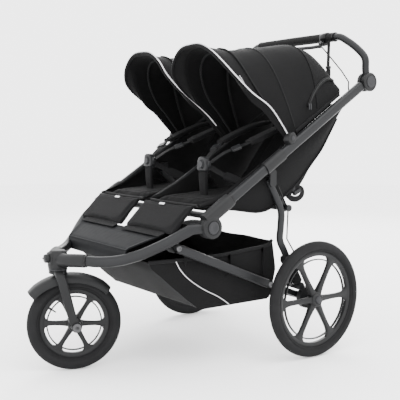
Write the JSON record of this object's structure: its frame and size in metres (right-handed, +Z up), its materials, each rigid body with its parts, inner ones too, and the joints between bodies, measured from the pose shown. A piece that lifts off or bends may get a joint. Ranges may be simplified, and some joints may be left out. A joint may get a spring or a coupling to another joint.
{
  "type": "jogging stroller",
  "caption": "Side-by-side three-wheel jogging stroller with folding frame, twin reclining seats, hooded canopies, swivel front wheel, sprung rear axle and under-seat basket.",
  "frame": {"origin": "centre of the bounding box on the floor", "axes": "+Z up, the stroller faces -Y, its left side is +X"},
  "size_m": [0.7886, 1.1719, 1.1331],
  "materials": {
    "frame_paint": "satin",
    "casting": "matte",
    "fabric": "matte",
    "webbing": "matte",
    "grip_foam": "matte",
    "tyre_rubber": "matte",
    "rim_plastic": "satin",
    "steel": "brushed",
    "button": "matte",
    "cable": "satin"
  },
  "bodies": {
    "frame": {"upper_tube_left": "frame_paint", "upper_tube_right": "frame_paint", "hinge_housing_left": "casting", "hinge_housing_right": "casting", "fold_hinge_pins": "casting", "front_cross_tube": "frame_paint", "rear_cross_tube": "frame_paint", "centre_rail": "frame_paint", "leg_brackets": "casting", "handlebar_housing_left": "casting", "handlebar_housing_right": "casting", "seat_left": "fabric", "seat_right": "fabric", "crotch_strap_left": "webbing", "crotch_strap_right": "webbing", "canopy_rear_left": "fabric", "canopy_rear_right": "fabric", "canopy_front_left": "fabric", "canopy_front_right": "fabric", "brake_cable": "cable"},
    "backrest_left": {"backrest_left": "fabric", "harness_left": "webbing"},
    "backrest_right": {"backrest_right": "fabric", "harness_right": "webbing"},
    "canopy_bow_left": {"canopy_bow_left": "casting"},
    "canopy_bow_right": {"canopy_bow_right": "casting"},
    "handlebar": {"handlebar": "frame_paint", "handlebar_grip": "grip_foam", "brake_lever_mount": "casting", "wrist_strap": "webbing"},
    "brake_lever": {"brake_lever": "frame_paint"},
    "tilt_button_left": {"tilt_button_left": "button"},
    "tilt_button_right": {"tilt_button_right": "button"},
    "buckle_button_left": {"buckle_button_left": "button"},
    "buckle_button_right": {"buckle_button_right": "button"},
    "front_frame": {"front_tube_left": "frame_paint", "front_tube_right": "frame_paint", "nose_casting": "casting", "footrest_tray": "casting"},
    "swivel_lock": {"swivel_lock_knob": "casting"},
    "leg_rest_left": {"leg_rest_left": "fabric"},
    "leg_rest_right": {"leg_rest_right": "fabric"},
    "fork": {"front_fork": "casting", "front_fender": "casting", "front_axle": "steel"},
    "front_wheel": {"front_rim": "rim_plastic", "front_tyre": "tyre_rubber"},
    "rear_legs": {"rear_leg_left": "frame_paint", "rear_leg_right": "frame_paint", "shock_absorbers": "casting"},
    "chassis": {"side_tube_left": "frame_paint", "side_tube_right": "frame_paint", "basket": "fabric"},
    "axle_unit": {"rear_axle": "frame_paint", "brake_drums": "casting"},
    "rear_wheel_left": {"rear_rim_left": "rim_plastic", "rear_tyre_left": "tyre_rubber"},
    "rear_wheel_right": {"rear_rim_right": "rim_plastic", "rear_tyre_right": "tyre_rubber"},
    "parking_brake": {"parking_brake_pedal": "casting"}
  },
  "joints": [
    {"name": "main_fold", "type": "hinge", "parent": "frame", "child": "front_frame", "pos_m": [0, -0.134, 0.478], "axis": [1, 0, 0], "range_deg": [0, 100], "deforming": ["brake_cable", "basket"]},
    {"name": "leg_fold", "type": "hinge", "parent": "frame", "child": "rear_legs", "pos_m": [0, 0.124, 0.604], "axis": [1, 0, 0], "range_deg": [0, 38.7]},
    {"name": "chassis_fold", "type": "hinge", "parent": "rear_legs", "child": "chassis", "pos_m": [0, 0.232, 0.262], "axis": [1, 0, 0], "range_deg": [-20.04, 0]},
    {"name": "rear_suspension", "type": "hinge", "parent": "chassis", "child": "axle_unit", "pos_m": [0, 0.152, 0.256], "axis": [1, 0, 0], "range_deg": [0, 4], "stiffness_Nm_per_rad": 600, "springref_deg": -3.44, "deforming": ["shock_absorbers"]},
    {"name": "rear_wheel_left_spin", "type": "hinge", "parent": "axle_unit", "child": "rear_wheel_left", "pos_m": [0.37, 0.294, 0.2], "axis": [1, 0, 0], "continuous": true},
    {"name": "rear_wheel_right_spin", "type": "hinge", "parent": "axle_unit", "child": "rear_wheel_right", "pos_m": [-0.37, 0.294, 0.2], "axis": [1, 0, 0], "continuous": true},
    {"name": "parking_brake_press", "type": "hinge", "parent": "axle_unit", "child": "parking_brake", "pos_m": [0, 0.294, 0.2], "axis": [-1, 0, 0], "range_deg": [0, 15]},
    {"name": "front_swivel", "type": "hinge", "parent": "front_frame", "child": "fork", "pos_m": [0, -0.486, 0.35], "axis": [0, 0, 1], "continuous": true},
    {"name": "front_wheel_spin", "type": "hinge", "parent": "fork", "child": "front_wheel", "pos_m": [0.01628, -0.43872, 0.1526], "axis": [0.9455, -0.3256, 0], "continuous": true},
    {"name": "swivel_lock_turn", "type": "hinge", "parent": "front_frame", "child": "swivel_lock", "pos_m": [0, -0.526, 0.371], "axis": [0, 1, 0], "range_deg": [0, 90]},
    {"name": "handlebar_tilt", "type": "hinge", "parent": "frame", "child": "handlebar", "pos_m": [0, 0.559, 0.946], "axis": [1, 0, 0], "range_deg": [-50, 20], "deforming": ["wrist_strap"]},
    {"name": "brake_lever_pull", "type": "hinge", "parent": "handlebar", "child": "brake_lever", "pos_m": [0.161, 0.51, 1.087], "axis": [1, 0, 0], "range_deg": [0, 18], "stiffness_Nm_per_rad": 1.5, "springref_deg": -5.73},
    {"name": "tilt_button_left_press", "type": "slide", "parent": "frame", "child": "tilt_button_left", "axis": [1, 0, 0], "range_m": [0, 0.003], "stiffness_N_per_m": 400, "springref_m": -0.002},
    {"name": "tilt_button_right_press", "type": "slide", "parent": "frame", "child": "tilt_button_right", "axis": [-1, 0, 0], "range_m": [0, 0.003], "stiffness_N_per_m": 400, "springref_m": -0.002},
    {"name": "buckle_button_left_press", "type": "slide", "parent": "frame", "child": "buckle_button_left", "axis": [0, 1, 0], "range_m": [0, 0.003], "stiffness_N_per_m": 400, "springref_m": -0.002},
    {"name": "buckle_button_right_press", "type": "slide", "parent": "frame", "child": "buckle_button_right", "axis": [0, 1, 0], "range_m": [0, 0.003], "stiffness_N_per_m": 400, "springref_m": -0.002},
    {"name": "canopy_left_fold", "type": "hinge", "parent": "frame", "child": "canopy_bow_left", "pos_m": [0, 0.194, 0.754], "axis": [-1, 0, 0], "range_deg": [0, 30], "deforming": ["canopy_front_left"]},
    {"name": "recline_left", "type": "hinge", "parent": "frame", "child": "backrest_left", "pos_m": [0, 0.232, 0.585], "axis": [-1, 0, 0], "range_deg": [0, 22], "deforming": ["harness_left"]},
    {"name": "leg_rest_left_lift", "type": "hinge", "parent": "frame", "child": "leg_rest_left", "pos_m": [0, -0.153, 0.541], "axis": [-1, 0, 0], "range_deg": [0, 35]},
    {"name": "canopy_right_fold", "type": "hinge", "parent": "frame", "child": "canopy_bow_right", "pos_m": [0, 0.194, 0.754], "axis": [-1, 0, 0], "range_deg": [0, 30], "deforming": ["canopy_front_right"]},
    {"name": "recline_right", "type": "hinge", "parent": "frame", "child": "backrest_right", "pos_m": [0, 0.232, 0.585], "axis": [-1, 0, 0], "range_deg": [0, 22], "deforming": ["harness_right"]},
    {"name": "leg_rest_right_lift", "type": "hinge", "parent": "frame", "child": "leg_rest_right", "pos_m": [0, -0.153, 0.541], "axis": [-1, 0, 0], "range_deg": [0, 35]}
  ],
  "couplings": [
    {"joint": "leg_fold", "follows": "main_fold", "ratio": 0.3865},
    {"joint": "chassis_fold", "follows": "main_fold", "ratio": -0.1999}
  ]
}
